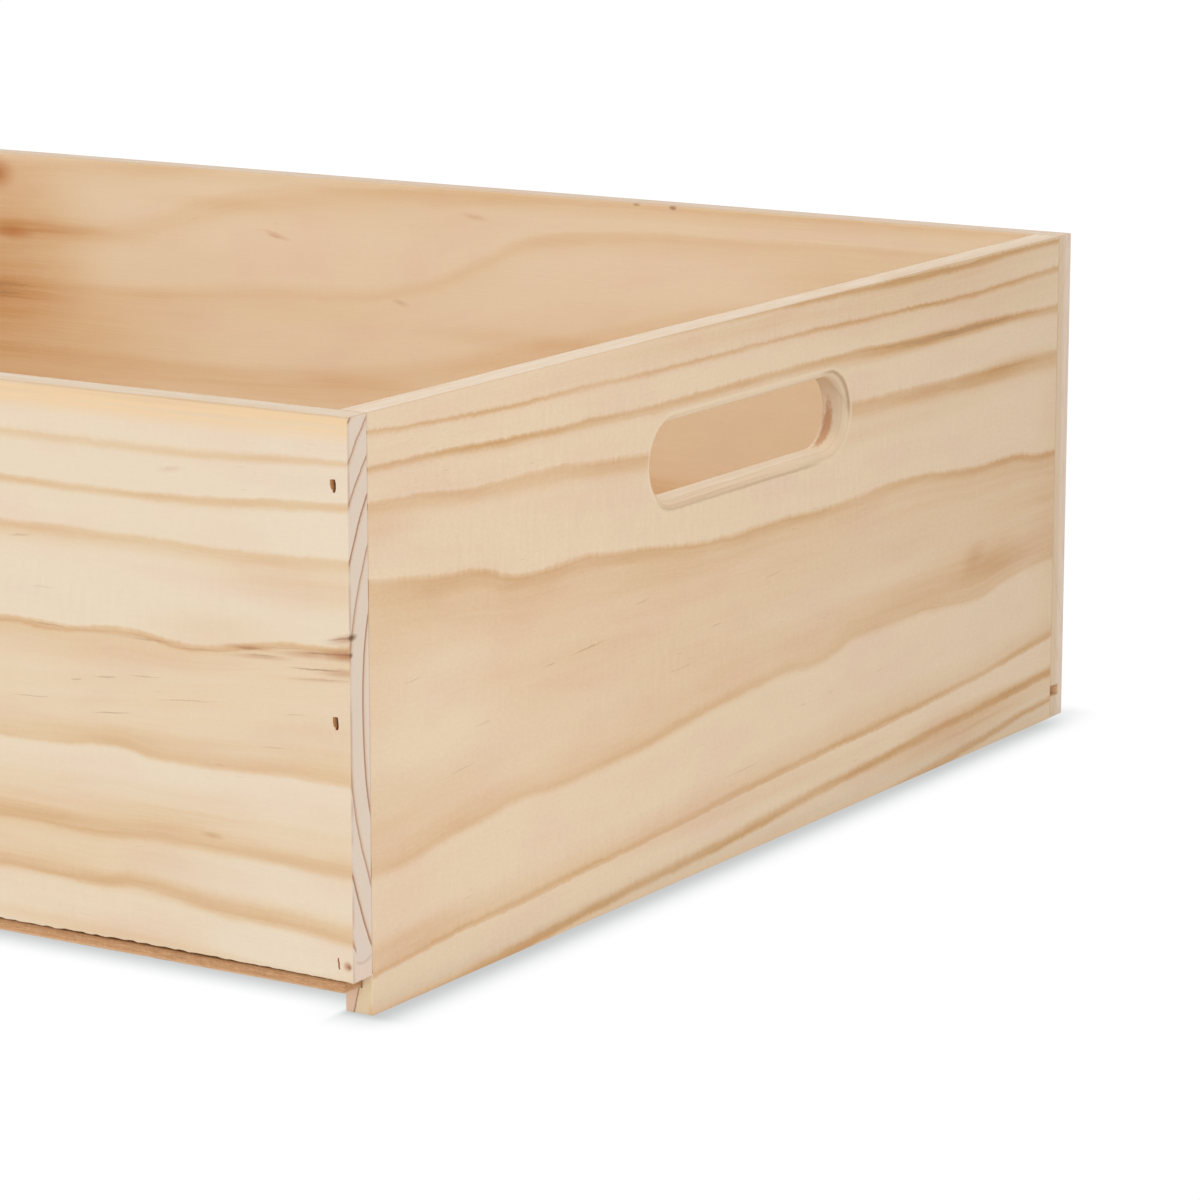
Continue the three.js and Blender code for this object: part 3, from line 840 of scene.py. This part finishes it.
# =====================================================================================
# fibreboard and steel
# =====================================================================================
def fibreboard():
    """Matted flock on the flat sides, layers on the edges."""
    material, surface = new_material("fibreboard_panel")
    (x, y, z), normal = object_mm()
    flat = smooth(abs(split(normal)[2]), 0.5, 0.9)
    flock = noise((x * 0.45, y * 0.45, z * 2.0), 4.0, 0.7)
    speck = noise((x * 2.2, y * 2.2, z * 4.0), 2.0, 0.7)
    cloud = noise((x * 0.012, y * 0.012, z), 3.0, 0.5)
    strand = noise((x * 0.9 + y * 0.3, y * 1.9 - x * 0.6, z), 2.0, 0.6)
    layers = noise((x * 0.25, y * 0.25, z * 5.0), 3.0, 0.6)
    sheet = colours(flock * 0.55 + speck * 0.25 + strand * 0.20, [
        (0.30, srgb(168, 122, 80)), (0.46, srgb(188, 143, 99)),
        (0.56, srgb(199, 156, 112)), (0.72, srgb(216, 178, 136))])
    edge = colours(layers * 0.55 + speck * 0.25 + strand * 0.2, [
        (0.30, srgb(150, 104, 66)), (0.45, srgb(184, 136, 94)),
        (0.57, srgb(200, 154, 112)), (0.74, srgb(220, 182, 142))])
    # painted light and shade: the edge darkens towards its top, a painted shadow under the front
    # board, and lightens towards its bottom
    edge = mix(smooth(z, 9.2, 10.2) * 0.45, edge, srgb(150, 104, 64))
    edge = mix(smooth(z, 8.2, 7.3) * 0.45, edge, srgb(226, 190, 150))
    colour = multiply(mix(flat, edge, sheet), grey((cloud - 0.5) * 0.22 + 1.0))
    feed(surface, {
        "Base Color": colour,
        "Roughness": flat * -0.14 + speck * 0.12 + 0.70,
        "Specular IOR Level": 0.3,
        "Normal": bump(flock * 0.05 + speck * 0.05 + layers * 0.10 * (1.0 - flat)),
    })
    return material


def brad_steel():
    """Dull drawn wire with grime."""
    material, surface = new_material("brad_steel")
    (x, y, z), _ = object_mm()
    grime = noise((x * 1.4, y * 1.4, z * 1.4), 4.0, 0.65)
    drawn = noise((x * 9.0, y * 0.5, z * 9.0), 2.0, 0.5)
    feed(surface, {
        "Base Color": colours(grime, [(0.30, srgb(52, 40, 32)), (0.50, srgb(78, 68, 60)),
                                      (0.70, srgb(112, 106, 100))]),
        "Metallic": 0.85,
        "Roughness": grime * 0.35 + drawn * 0.12 + 0.22,
        "Normal": bump(drawn * 0.02 + grime * 0.02),
    })
    return material


panel_material = fibreboard()
steel_material = brad_steel()


# =====================================================================================
# mesh tools, in millimetres
# =====================================================================================
def new_object(name, bm):
    mesh = bpy.data.meshes.new(name)
    bm.to_mesh(mesh)
    bm.free()
    made = bpy.data.objects.new(name, mesh)
    bpy.context.scene.collection.objects.link(made)
    return made


def slab(low, high, ease, segments, cuts):
    """A board with its edges eased, cut across at the given places along each axis."""
    bm = bmesh.new()
    low, high = Vector(low), Vector(high)
    bmesh.ops.create_cube(bm, size=1.0)
    for vert in bm.verts:
        vert.co = Vector([(low[i] + high[i]) / 2 + vert.co[i] * (high[i] - low[i])
                          for i in range(3)])
    bmesh.ops.bevel(bm, geom=list(bm.edges), offset=ease, segments=segments, profile=0.5,
                    affect="EDGES")
    for axis, places in cuts.items():
        normal = Vector([1.0 if i == axis else 0.0 for i in range(3)])
        for place in places:
            bmesh.ops.bisect_plane(bm, geom=bm.verts[:] + bm.edges[:] + bm.faces[:],
                                   plane_co=normal * place, plane_no=normal, dist=1e-5)
    return bm


def loft(rings):
    """A closed solid through rings of points."""
    bm = bmesh.new()
    rings = [[bm.verts.new(point) for point in ring] for ring in rings]
    count = len(rings[0])
    bm.faces.new(list(reversed(rings[0])))
    bm.faces.new(rings[-1])
    for one, other in zip(rings, rings[1:]):
        for i in range(count):
            j = (i + 1) % count
            bm.faces.new([one[i], one[j], other[j], other[i]])
    bmesh.ops.recalc_face_normals(bm, faces=bm.faces[:])
    return bm


def prism(points, low, high, axis):
    """A polygon drawn out along axis. Its points follow the cyclic order of the axes."""
    rings = []
    for place in (low, high):
        ring = []
        for point in points:
            co = [0.0, 0.0, 0.0]
            co[axis], co[(axis + 1) % 3], co[(axis + 2) % 3] = place, *point
            ring.append(co)
        rings.append(ring)
    return loft(rings)


def block(low, high, axis=0):
    a, b = (axis + 1) % 3, (axis + 2) % 3
    corners = [(low[a], low[b]), (high[a], low[b]), (high[a], high[b]), (low[a], high[b])]
    return prism(corners, low[axis], high[axis], axis)


def hand_cutter(x_low, x_high, low_round, high_round):
    """Stadium along X that flares out by a quarter round at each end."""
    arc_steps, round_steps = 32, 8
    profile = [(x_low - 1.0, low_round)]
    for i in range(round_steps + 1):
        turn = math.pi / 2 * i / round_steps
        profile.append((x_low + low_round * (1 - math.cos(turn)),
                        low_round * (1 - math.sin(turn))))
    for i in range(round_steps, -1, -1):
        turn = math.pi / 2 * i / round_steps
        profile.append((x_high - high_round * (1 - math.cos(turn)),
                        high_round * (1 - math.sin(turn))))
    profile.append((x_high + 1.0, high_round))
    centre = HAND_LENGTH / 2 - HAND_HEIGHT / 2
    rings = []
    for x, grow in profile:
        radius = HAND_HEIGHT / 2 + grow
        ring = []
        for side, start in ((1, -math.pi / 2), (-1, math.pi / 2)):
            for i in range(arc_steps + 1):
                turn = start + math.pi * i / arc_steps
                ring.append((x, side * centre + radius * math.cos(turn),
                             HAND_Z + radius * math.sin(turn)))
        rings.append(ring)
    return loft(rings)


def carve(board, cutters):
    """Cuts the closed shapes out of board."""
    tools = []
    for i, bm in enumerate(cutters):
        tool = new_object(f"tmp_cutter_{i}", bm)
        cut = board.modifiers.new("cut", "BOOLEAN")
        cut.operation = "DIFFERENCE"
        cut.solver = "EXACT"
        cut.object = tool
        tools.append(tool)
    bpy.context.view_layer.update()
    evaluated = board.evaluated_get(bpy.context.evaluated_depsgraph_get())
    carved = bpy.data.meshes.new_from_object(evaluated)
    board.modifiers.clear()
    whole = board.data
    board.data = carved
    bpy.data.meshes.remove(whole)
    for tool in tools:
        mesh = tool.data
        bpy.data.objects.remove(tool)
        bpy.data.meshes.remove(mesh)


def finish_mesh(board, material):
    """Tidies, scales to metres, and shades smooth with crisp flats."""
    sharp_angle = math.radians(32.0)
    mesh = board.data
    bm = bmesh.new()
    bm.from_mesh(mesh)
    bmesh.ops.remove_doubles(bm, verts=bm.verts[:], dist=2e-4)
    bmesh.ops.dissolve_degenerate(bm, edges=bm.edges[:], dist=2e-4)
    bmesh.ops.triangulate(bm, faces=[face for face in bm.faces if len(face.verts) > 4])
    # faces folded onto each other go in pairs
    bm.verts.index_update()
    seen = {}
    for face in bm.faces:
        seen.setdefault(tuple(sorted(vert.index for vert in face.verts)), []).append(face)
    doubled = [face for group in seen.values() if len(group) == 2 for face in group]
    if doubled:
        bmesh.ops.delete(bm, geom=doubled, context="FACES")
    for vert in bm.verts:
        vert.co *= MM
    for face in bm.faces:
        face.smooth = True
    for edge in bm.edges:
        edge.smooth = len(edge.link_faces) == 2 and edge.calc_face_angle(0.0) < sharp_angle
    bm.to_mesh(mesh)
    bm.free()
    mesh.materials.clear()
    mesh.materials.append(material)
    flats = board.modifiers.new("flats", "WEIGHTED_NORMAL")
    flats.keep_sharp = True
    flats.weight = 80


def dip_top(vert, dip):
    """Lowers the top edge by dip, fading out down the top band."""
    vert.co.z -= max(0.0, (vert.co.z - (HEIGHT - TOP_BAND)) / TOP_BAND) * dip


# =====================================================================================
# brad holes
# =====================================================================================
# x and z from the slot's centre, and how far x may stray
SLIT = [(-0.15, -1.72, 0.05), (0.62, -1.6, 0.06), (0.86, -0.6, 0.06), (0.8, 0.7, 0.08),
        (0.55, 1.66, 0.06), (-0.2, 1.72, 0.05), (-0.28, 0.4, 0.05), (-0.22, -0.7, 0.05)]
# x and z from the centre of the shallow slot low on the front board's +X end
SHALLOW_SLOT = [(0.1, -1.55), (0.42, -1.3), (0.3, -0.5), (0.36, 0.2), (0.08, 1.0),
                (0.02, 1.7), (-0.34, 1.5), (-0.36, 0.7), (-0.16, 0.1), (-0.2, -0.7)]


def face_prism(outline, side, depth):
    """Cuts an (x, z) outline into the outer face at y = side * HALF_Y."""
    y_low, y_high = sorted((side * (HALF_Y + 1.0), side * (HALF_Y - depth)))
    return prism([(z, x) for x, z in outline], y_low, y_high, 1)


def slot_cutters(x, z, side, seed):
    """A deep upright slit with a torn, sloping flare on its -X side."""
    rng = np.random.default_rng(seed)

    def stray(amount):
        return float(rng.uniform(-amount, amount))

    slit = [(x + dx + stray(amount), z + dz) for dx, dz, amount in SLIT]
    flare_top = [(x - 0.98 + stray(0.08), z + 1.60), (x - 0.05, z + 1.66), (x - 0.05, z - 1.30),
                 (x - 0.70 + stray(0.10), z - 0.9 + stray(0.2)),
                 (x - 1.02 + stray(0.08), z + 0.3)]
    flare_bottom = [(x - 0.30, z + 1.35), (x + 0.10, z + 1.45), (x + 0.10, z - 0.95),
                    (x - 0.20, z - 0.7), (x - 0.34, z + 0.2)]
    bm = bmesh.new()
    top, bottom = [
        [bm.verts.new((px, side * y, pz)) for px, pz in outline]
        for outline, y in ((flare_top, HALF_Y + 0.02), (flare_bottom, HALF_Y - 1.0))]
    bm.faces.new(top)
    bm.faces.new(list(reversed(bottom)))
    for i in range(5):
        j = (i + 1) % 5
        bm.faces.new([top[j], top[i], bottom[i], bottom[j]])
    bmesh.ops.recalc_face_normals(bm, faces=bm.faces[:])
    return [face_prism(slit, side, 2.25), bm]


def long_board_holes(side):
    """Slots and brad holes of the front (side -1) or back (side 1) board."""
    cutters = []
    for end in (-1, 1):
        for level, z in enumerate(BRAD_LEVELS):
            x = end * (HALF_X - BRAD_INSET)
            if end == 1 and side == -1 and level == 2:
                outline = [(x + dx, z + dz) for dx, dz in SHALLOW_SLOT]
                cutters.append(face_prism(outline, side, 0.45))
                hole_depth = 1.2
            else:
                seed = 40 + level + 3 * (end + 1) + 9 * (side + 1)
                cutters += slot_cutters(x, z, side, seed)
                hole_depth = 1.9
            y_low, y_high = sorted((side * (HALF_Y - hole_depth), side * (INNER_Y - 1.0)))
            cutters.append(block((x - BRAD_THIN, y_low, z - BRAD_WIDE),
                                 (x + BRAD_THIN, y_high, z + BRAD_WIDE), axis=1))
    return cutters


def foot_hole(x, half_x, low, high):
    return block((x - half_x, FOOT_BRAD_Y - BRAD_THIN, low),
                 (x + half_x, FOOT_BRAD_Y + BRAD_THIN, high))


# =====================================================================================
# boards
# =====================================================================================
rough_rng = np.random.default_rng(20)  # roughness of the front board's and panel's edges

# (x from the +X end, lift) of the front board's ragged lower edge
RAGGED = np.array([
    (-600, 0.35), (-108, 0.32), (-98, 0.38), (-94, 0.3), (-92, 0.6), (-86, 0.48), (-80, 0.44),
    (-76, 0.62), (-70, 0.66), (-63, 0.55), (-57, 0.6), (-50, 0.48), (-45, 0.6), (-40, 0.46),
    (-33, 0.36), (-27, 0.42), (-18, 0.3), (-8, 0.24), (0, 0.1)], float)


def front_board():
    fine_from = HALF_X - 130.0  # finer steps from here to the +X end
    bm = slab((-HALF_X, -HALF_Y, FRONT_LOW), (HALF_X, -INNER_Y, HEIGHT), 0.45, 3, {
        0: [*np.arange(-HALF_X + 3.0, fine_from, 3.0), *np.arange(fine_from, HALF_X - 1.0, 1.5)],
        2: [FRONT_LOW + 1.2, FRONT_LOW + 3.2, FRONT_LOW + 7.0, HEIGHT - TOP_BAND],
    })
    # the long stretch between the first two points of RAGGED is filled in
    far = np.arange(-588, -112, 6.0)
    far_lift = (0.40 + 0.22 * np.sin(far / 17.0) + 0.14 * np.sin(far / 6.1 + 1.0)
                + rough_rng.uniform(-0.10, 0.14, len(far)))
    places = np.concatenate([RAGGED[:1, 0], far, RAGGED[1:, 0]])
    lifts = np.concatenate([RAGGED[:1, 1], far_lift, RAGGED[1:, 1]])
    for vert in bm.verts:
        x = vert.co.x
        low = 1.0 - min(1.0, max(0.0, (vert.co.z - FRONT_LOW) / 6.5))
        low = low * low * (3 - 2 * low)
        depth = (vert.co.y + HALF_Y) / THICK
        outer = (float(np.interp(x - HALF_X, places, lifts))
                 + 0.11 * math.sin(x * 2.3) * math.sin(x * 0.71 + 1.0)
                 + 0.08 * math.sin(x * 1.13))
        inner = 0.25 + 0.18 * math.sin(x / 21.0 + 2.0)
        vert.co.z += low * (outer * (1 - depth) + inner * depth)
        dip_top(vert, 0.06 + 0.05 * math.sin(x / 43.0) + 0.03 * math.sin(x / 11.0))
    board = new_object("front_side_board_pine", bm)
    feet = [foot_hole(x, BRAD_WIDE, FRONT_LOW - 1.5, 22.5) for x in FOOT_BRADS]
    carve(board, long_board_holes(-1) + feet)
    finish_mesh(board, front_pine)
    return board


def back_board():
    bm = slab((-HALF_X, INNER_Y, 0), (HALF_X, HALF_Y, HEIGHT), 0.45, 3, {
        0: np.arange(-HALF_X + 10.0, HALF_X - 1.0, 10.0),
        2: [HEIGHT - TOP_BAND, 4.0],
    })
    for vert in bm.verts:
        dip_top(vert, 0.05 + 0.05 * math.sin(vert.co.x / 37.0 + 1.0))
    board = new_object("back_side_board_pine", bm)
    groove = block((-HALF_X - 2, INNER_Y - 2, GROOVE_LOW),
                   (HALF_X + 2, INNER_Y + GROOVE_DEPTH, GROOVE_TOP))
    carve(board, long_board_holes(1) + [groove])
    finish_mesh(board, back_pine)
    return board


def end_board(name, end, material, phase):
    x_low, x_high = sorted((end * INNER_X, end * HALF_X))
    bm = slab((x_low, -INNER_Y, 0), (x_high, INNER_Y, HEIGHT), 0.40, 3, {
        1: np.arange(-INNER_Y + 10.0, INNER_Y - 1.0, 10.0),
        2: [HEIGHT - TOP_BAND, 4.0],
    })
    for vert in bm.verts:
        dip_top(vert, 0.05 + 0.05 * math.sin(vert.co.y / 33.0 + phase))
        # a tighter arris along the foot
        if vert.co.z < 0.6:
            vert.co.z *= 0.35
    board = new_object(name, bm)
    # the hand hole is rounded more on the outer face
    rounds = (0.7, 3.2) if end > 0 else (3.2, 0.7)
    groove_low, groove_high = sorted((end * (INNER_X - 2), end * (INNER_X + GROOVE_DEPTH)))
    cutters = [
        hand_cutter(x_low, x_high, *rounds),
        block((groove_low, -INNER_Y - 2, GROOVE_LOW), (groove_high, INNER_Y + 2, GROOVE_TOP)),
    ]
    for side in (-1, 1):
        for z in BRAD_LEVELS:
            x = end * (HALF_X - BRAD_INSET)
            y_low, y_high = sorted((side * (INNER_Y + 1.0), side * (HALF_Y - 26.25)))
            cutters.append(block((x - BRAD_THIN, y_low, z - BRAD_WIDE),
                                 (x + BRAD_THIN, y_high, z + BRAD_WIDE)))
    carve(board, cutters)
    finish_mesh(board, material)
    return board


def bottom_panel():
    """It sits in three grooves and runs under the front board."""
    reach = GROOVE_DEPTH - PANEL_PLAY
    half_x, front_y, back_y = INNER_X + reach, -HALF_Y + 1.0, INNER_Y + reach
    bm = slab((-half_x, front_y, GROOVE_LOW + PANEL_PLAY),
              (half_x, back_y, GROOVE_TOP - PANEL_PLAY), 0.18, 2, {
        0: np.arange(-half_x + 2.5, half_x - 1.0, 2.5),
        1: [front_y + 1.0, back_y - 1.0],
        2: [8.1, 8.8, 9.5],
    })
    # rough front edge
    for vert in bm.verts:
        if vert.co.y < front_y + 0.6:
            vert.co.y += (float(rough_rng.uniform(0.0, 0.16))
                          + 0.08 * math.sin(vert.co.x / 7.0) + 0.08)
    panel = new_object("bottom_panel_fibreboard", bm)
    cutters = []
    for x in FOOT_BRADS:
        cutters.append(foot_hole(x, 1.875, 6.0, 8.5))  # head
        cutters.append(foot_hole(x, BRAD_WIDE, 8.0, 12.0))  # shank
    carve(panel, cutters)
    finish_mesh(panel, panel_material)
    return panel


front = front_board()
back = back_board()
right = end_board("right_end_board_pine", 1, right_pine, 0.0)
left = end_board("left_end_board_pine", -1, left_pine, 2.0)
panel = bottom_panel()

for piece, part, slot in (
    (front, "front_side_board", "side_pine"), (back, "back_side_board", "side_pine"),
    (right, "right_end_board", "end_pine"), (left, "left_end_board", "end_pine"),
    (panel, "bottom_panel", "fibreboard"),
):
    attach(piece, "root")
    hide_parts(part)
    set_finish(piece, slot)

# brads keep their own shape, with softened edges
for name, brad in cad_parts.items():
    if "brad" not in name:
        continue
    brad.data.materials.clear()
    brad.data.materials.append(steel_material)
    weld = brad.modifiers.new("weld", "WELD")
    weld.merge_threshold = 0.00001
    ease = brad.modifiers.new("ease", "BEVEL")
    ease.width = 0.00010
    ease.segments = 2
    ease.limit_method = "ANGLE"
    ease.angle_limit = math.radians(30)
    brad["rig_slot"] = "brad_steel"


# =====================================================================================
# floor, light, camera
# =====================================================================================
def beside(dx, dy):
    """Distance outside a rectangle, from the distances past its sides."""
    dx = largest(dx, 0.0)
    dy = largest(dy, 0.0)
    return calc("SQRT", dx * dx + dy * dy)


def floor_material():
    """Even white glow with painted shadows: painted contact shadows where the boards touch the
    floor, and painted shade under and around the box.
    """
    material, surface = new_material("studio_floor", "Emission")
    (x, y, _), _ = object_mm()
    x = abs(x)
    ends = beside(abs(x - (HALF_X - THICK / 2)) - THICK / 2, abs(y) - INNER_Y)
    rear = beside(x - HALF_X, abs(y - (HALF_Y - THICK / 2)) - THICK / 2)
    touch = calc("MINIMUM", ends, rear)
    # painted contact shadow around the feet of the boards
    contact = (calc("EXPONENT", touch * touch / -64.0)
               * smooth(y, -INNER_Y - 5.0, -INNER_Y + 1.0, 0.58, 1.0))
    contact = (contact * smooth(x, INNER_X - 2.0, INNER_X + 1.5, 0.15, 1.0)
               * smooth(y, 178.0, 202.0, 1.0, 0.35))
    # painted shade under the box, behind its front edge
    under = (smooth(y, -194.5, -174.5) * smooth(x, HALF_X - 2.5, HALF_X - 0.5, 1.0, 0.0)
             * smooth(y, HALF_Y - 2.5, HALF_Y - 0.5, 1.0, 0.0))
    # faint painted shade around the whole box
    wide = calc("EXPONENT", beside(x - HALF_X, abs(y) - HALF_Y) / -16.0)
    glow = (contact * -0.42 + 1.02) * (under * -0.46 + 1.0) * (wide * -0.02 + 1.0)
    feed(surface, {"Color": vec(calc("POWER", glow, 1.03), glow, glow)})
    return material


bm = bmesh.new()
bmesh.ops.create_grid(bm, x_segments=8, y_segments=8, size=30.0)
floor = new_object("studio_floor", bm)
floor.data.materials.append(floor_material())

world = bpy.data.worlds.new("studio")
bpy.context.scene.world = world
world.use_nodes = True
background = world.node_tree.nodes["Background"]
background.inputs["Color"].default_value = (1.0, 1.0, 1.0, 1)
background.inputs["Strength"].default_value = 1.03


def softbox(name, location, target, size, power):
    """A square area light; metres and watts."""
    light = bpy.data.lights.new(name, "AREA")
    light.shape = "RECTANGLE"
    light.size = light.size_y = size
    light.energy = power
    lamp = bpy.data.objects.new(name, light)
    bpy.context.scene.collection.objects.link(lamp)
    lamp.location = location
    aim = Vector(target) - Vector(location)
    lamp.rotation_euler = aim.to_track_quat("-Z", "Y").to_euler()


softbox("key_softbox", location=(-1.4, -2.6, 2.4), target=(0, 0, 0.1), size=2.0, power=14)
softbox("top_softbox", location=(0.1, -0.2, 3.0), target=(0, 0, 0), size=2.6, power=18)

# the camera looks down from the front right
CAMERA_PLACE = (0.9633, -1.1482, 0.3570)
turn, tilt = math.radians(31.89), math.radians(12.07)
lens = bpy.data.cameras.new("camera")
camera = bpy.data.objects.new("camera", lens)
bpy.context.scene.collection.objects.link(camera)
forward = Vector((-math.sin(turn) * math.cos(tilt), math.cos(turn) * math.cos(tilt),
                  -math.sin(tilt)))
rightward = Vector((math.cos(turn), math.sin(turn), 0.0))
upward = rightward.cross(forward)
pose = Matrix((rightward, upward, -forward)).transposed().to_4x4()
pose.translation = Vector(CAMERA_PLACE)
camera.matrix_world = pose
lens.sensor_width = 36.0
lens.lens = 142.74
lens.clip_start = 0.05
lens.clip_end = 200.0
bpy.context.scene.camera = camera

bpy.context.view_layer.update()
